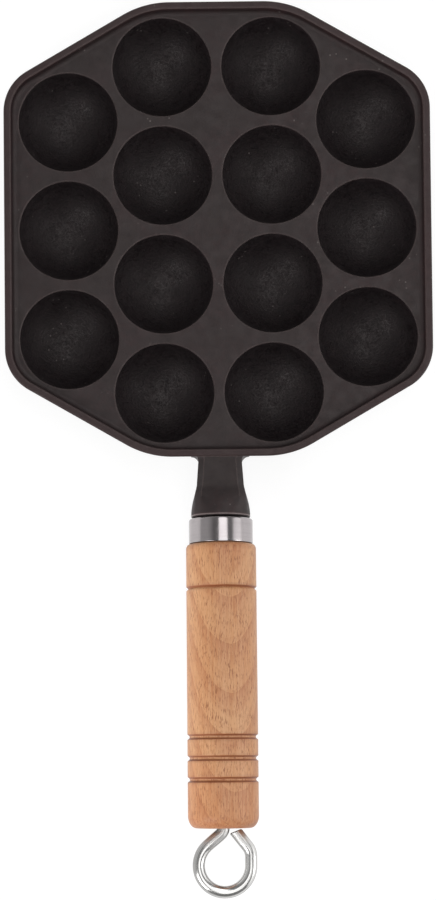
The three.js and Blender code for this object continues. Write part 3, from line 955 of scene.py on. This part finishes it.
def beech():
    """Beech whose growth layers meet the turned surface as long pointed arches."""
    paint = Paint("beech_turned", along_handle=True)
    log = paint.mapped(paint.place, Rotation=LOG_TURN, Location=LOG_SHIFT)
    late = paint.ramp(paint.layers(log, LAYER_SCALE, distortion=2.2), low=0.45, high=1)
    thin = paint.layers(log, THIN_LAYER_SCALE, distortion=3)
    drawn_out = paint.mapped(paint.place, Scale=(1, 1, 0.45))
    patches = paint.noise(BEECH_SCALES["patches"], detail=2, place=drawn_out)
    fibres = paint.stretched_noise(across=1700, along=110, roughness=0.6)
    flecks = paint.stretched_noise(across=2700, along=430, detail=2, roughness=0.6)
    crowding = paint.noise(BEECH_SCALES["crowding"], detail=2)
    marks = paint.times(paint.ramp(flecks, low=0.54, high=0.66),
                        paint.ramp(crowding, low=0.35, high=0.65, start=0.5, end=0.95))

    shares = BEECH_SHARES
    tone = paint.mix(paint.ramp(patches, low=0.38, high=0.66), BEECH["pale"], BEECH["warm"])
    near_end = paint.ramp(paint.along(), END_WARMS_FROM, END_WARM, end=shares["end"])
    tone = paint.mix(near_end, tone, BEECH["end"])
    tone = paint.mix(paint.ramp(thin, low=0.6, high=1, end=shares["thin_layer"]), tone, BEECH["thin_layer"])
    tone = paint.mix(paint.times(late, shares["late_wood"]), tone, BEECH["late_wood"])
    tone = paint.mix(paint.ramp(fibres, low=0.4, high=0.66, end=shares["fibre"]), tone, BEECH["fibre"])
    tone = paint.mix(marks, tone, BEECH["fleck"])
    # Darker burn colour on the turned places; on the grooves' flanks it is also painted shade
    turned = paint.times(paint.marked("burnish"), shares["burnished"])
    tone = paint.mix(turned, tone, BEECH["burnished"])

    pores = paint.stretched_noise(across=2600, along=180, detail=2)
    lathe_lines = paint.stretched_noise(across=60, along=2200, detail=1)
    relief = paint.bump(pores, distance=0.00005, strength=0.5)
    relief = paint.bump(lathe_lines, distance=0.00003, strength=0.3, normal=relief)
    relief = paint.bump(marks, distance=-0.00006, strength=0.6, normal=relief)
    rough = paint.ramp(fibres, low=0.2, high=0.8, start=0.38, end=0.5)
    return paint.finish(Base_Color=tone, Roughness=rough, Normal=relief, Specular_IOR_Level=0.5)


def plated_roughness(paint, least, most, scuffed):
    """Roughness of plating that is nearly even, and more where it is scuffed."""
    scuffs = paint.stretched_noise(across=500, along=900, detail=4, roughness=0.7)
    rough = paint.ramp(paint.noise(PLATING_SCALES["sheen"]), low=0.3, high=0.7, start=least, end=most)
    return paint.maths("ADD", rough, paint.ramp(scuffs, low=0.58, high=0.72, end=scuffed))


def plated(paint, bright, rough, streaks, streak_share, streak_depth):
    """Chrome over steel, faintly clouded, with dark streaks: the steel's own on the ferrule, painted
    reflection lines on the rod.
    """
    clouds = paint.ramp(paint.noise(PLATING_SCALES["clouds"]), low=0.35, high=0.65)
    tone = paint.mix(clouds, bright, [channel * CLOUD_LEVEL for channel in bright[:3]] + [1])
    # Dark streaks in the colour; on the rod they are painted reflection lines
    tone = paint.mix(paint.ramp(streaks, low=0.48, high=0.66, end=streak_share), tone, METAL["streak"])
    relief = paint.bump(streaks, distance=streak_depth, strength=0.5)
    waves = paint.noise(PLATING_SCALES["waves"], detail=1)
    relief = paint.bump(waves, distance=0.00008, strength=0.35, normal=relief)
    return paint.finish(Base_Color=tone, Roughness=rough, Normal=relief, Metallic=1)


def ferrule_chrome():
    """Plating over rolled steel, with faint lines round the cap."""
    paint = Paint("ferrule_chrome", along_handle=True)
    streaks = paint.stretched_noise(across=40, along=3000, roughness=0.6)
    rough = plated_roughness(paint, least=0.13, most=0.19, scuffed=0.07)
    return plated(paint, METAL["ferrule"], rough, streaks, streak_share=0.08, streak_depth=0.00001)


def rod_chrome():
    """Plating over drawn steel, with painted reflection lines along the wire, and rubbed dull beside the
    grip.
    """
    paint = Paint("rod_chrome", along_handle=True)
    # Dark streaks along the wire: painted reflection lines
    wire = paint.mapped(paint.marked("wire_place", "Vector"), Scale=(4, 4, 14))
    streaks = paint.noise(1, roughness=0.6, place=wire)
    rubbed = paint.ramp(paint.along(), RUBBED_START, RUBBED_END, start=0.3, end=0)
    rough = paint.maths("ADD", plated_roughness(paint, least=0.13, most=0.21, scuffed=0.08), rubbed)
    return plated(paint, METAL["rod"], rough, streaks, streak_share=0.8, streak_depth=0.00012)


def brushed_steel():
    """Plain steel with a fine satin finish."""
    paint = Paint("washer_steel_turned", along_handle=True)
    sweep = paint.stretched_noise(across=2400, along=2400, distortion=0.4)
    tone = paint.mix(paint.ramp(sweep, low=0.3, high=0.7), METAL["washer"], METAL["washer_dull"])
    rough = paint.ramp(sweep, low=0.3, high=0.7, start=0.26, end=0.4)
    relief = paint.bump(sweep, distance=0.00003, strength=0.5)
    return paint.finish(Base_Color=tone, Roughness=rough, Normal=relief, Metallic=1)


# Studio

FLOOR_REACH = 4000
FLOOR_DEPTH = 0.5
FLOOR_GREY = 0.8
FLOOR_SEEN_GREY = 0.22
FLOOR_GLOW = 0.84

# The ceiling's level from the left, 0, to the right, 1, and the heights between which it takes over
# from the white backdrop
CEILING = [
    (0, 0.53), (0.13, 0.53), (0.2, 0.4), (0.28, 0.2), (0.83, 0.24), (0.87, 1.15), (0.92, 1.4),
    (0.97, 1.5), (1, 1.3),
]
BACKDROP_FADE = (0.13, 0.22)

# Places and sizes in metres
LAMPS = {
    "overhead_softbox": {
        "place": (0.185, 0.46, 1.15), "aim": (0.185, 0.46, 0), "size": (0.64, 2.3), "radiance": 1.95,
    },
    "front_left_softbox": {
        "place": (-0.62, -0.55, 0.72), "aim": (0, 0.06, 0), "size": (0.5, 0.5), "radiance": 4.2,
    },
    "left_low_softbox": {
        "place": (-1.1, -0.95, 0.2), "aim": (0, -0.1, 0.02), "size": (0.9, 0.26), "radiance": 15,
        "mirrored": False,
    },
    "right_softbox": {
        "place": (1.18, -0.29, 0.58), "aim": (0, 0.06, 0), "size": (0.45, 0.45), "radiance": 3.4,
    },
}

# The camera's turn about each axis in degrees, its shift and distance in millimetres, fitted to the
# cups and the handle in the photograph, the lens as a share of the picture's height, and how far it
# sees in metres
CAMERA_TURN = (-2.201, -0.375, 0.586)
CAMERA_SHIFT = (0.932, 1.1647, -953.27)
FOCAL_SHARE = 2300 / 900
SENSOR_HEIGHT = 36
SIGHT = 30


def floor_white():
    """White that shows the object's shadow where it is looked at or mirrored, and plain grey to
    the light that it gives back."""
    material = bpy.data.materials.new("floor_white")
    material.use_nodes = True
    nodes = Nodes(material.node_tree)
    nodes.tree.nodes.remove(nodes.tree.nodes["Principled BSDF"])
    path = nodes.add("ShaderNodeLightPath")
    seen = path.outputs["Is Camera Ray"]
    for name in ("Is Glossy Ray", "Is Transmission Ray"):
        seen = nodes.maths("MAXIMUM", seen, path.outputs[name])
    plain = nodes.add("ShaderNodeBsdfDiffuse", Color=grey(FLOOR_GREY)).outputs[0]
    shaded = nodes.add("ShaderNodeBsdfDiffuse", Color=grey(FLOOR_SEEN_GREY)).outputs[0]
    glow = nodes.add("ShaderNodeEmission", Strength=FLOOR_GLOW).outputs[0]
    white = nodes.join("ShaderNodeAddShader", shaded, glow)
    choice = nodes.join("ShaderNodeMixShader", seen, plain, white)
    nodes.feed(nodes.tree.nodes["Material Output"].inputs[0], choice)
    return material


def floor():
    """The slab that the pan stands on."""
    reach = FLOOR_REACH
    corners = [(-reach, -reach), (reach, -reach), (reach, reach), (-reach, reach)]
    stand = skin("floor", [[(x, y, z) for x, y in corners] for z in (-FLOOR_DEPTH, 0)])
    stand.data.materials.append(floor_white())


def studio_dome():
    """White backdrop low down all round, and above it a grey ceiling that is lighter on the right."""
    world = bpy.data.worlds.new("studio")
    bpy.context.scene.world = world
    world.use_nodes = True
    nodes = Nodes(world.node_tree)
    direction = nodes.add("ShaderNodeTexCoord").outputs["Generated"]
    split = nodes.add("ShaderNodeSeparateXYZ", Vector=direction)
    ceiling = nodes.add("ShaderNodeValToRGB", Fac=nodes.ramp(split.outputs["X"], low=-1, high=1))
    stops = ceiling.color_ramp.elements
    while len(stops) < len(CEILING):
        stops.new(0.5)
    for stop, (position, level) in zip(stops, CEILING):
        stop.position = position
        stop.color = grey(level)
    height = nodes.ramp(split.outputs["Z"], *BACKDROP_FADE)
    level = nodes.mix(height, grey(1), ceiling.outputs[0])
    nodes.feed(nodes.tree.nodes["Background"].inputs["Color"], level)


def softbox(name, place, aim, size, radiance, mirrored=True):
    """A rectangular lamp that faces the aim, and shows at this brightness in metal that mirrors it."""
    lamp = bpy.data.lights.new(name, "AREA")
    lamp.shape = "RECTANGLE"
    lamp.size, lamp.size_y = size
    lamp.energy = radiance * math.pi * size[0] * size[1]
    stand = bpy.data.objects.new(name, lamp)
    stand.location = place
    stand.visible_glossy = mirrored
    stand.rotation_euler = (Vector(aim) - Vector(place)).to_track_quat("-Z", "Y").to_euler()
    bpy.context.scene.collection.objects.link(stand)


def camera():
    """A camera straight above, at the photograph's angle and distance."""
    data = bpy.data.cameras.new("camera")
    data.sensor_fit = "VERTICAL"
    data.sensor_height = SENSOR_HEIGHT
    data.lens = FOCAL_SHARE * SENSOR_HEIGHT
    data.clip_end = SIGHT
    eye = bpy.data.objects.new("camera", data)
    bpy.context.scene.collection.objects.link(eye)
    turn_x, turn_y, turn_z = [Matrix.Rotation(math.radians(angle), 4, axis)
                              for angle, axis in zip(CAMERA_TURN, "XYZ")]
    shift = Matrix.Translation(Vector(CAMERA_SHIFT) * MM)
    eye.matrix_world = (shift @ (turn_z @ turn_y @ turn_x)).inverted()
    bpy.context.scene.camera = eye


camera()
bpy.context.scene.view_settings.view_transform = "Standard"
floor()
studio_dome()
for lamp_name, lamp_settings in LAMPS.items():
    softbox(lamp_name, **lamp_settings)

dress(casting(), cast_iron(), "casting", "pan")
dress(ferrule(), ferrule_chrome(), "handle", "ferrule")
dress(grip(), beech(), "handle", "grip")
dress(washer(), brushed_steel(), "handle", "rod_washer")
dress(eye_rod(), rod_chrome(), "eye", "eye_rod")
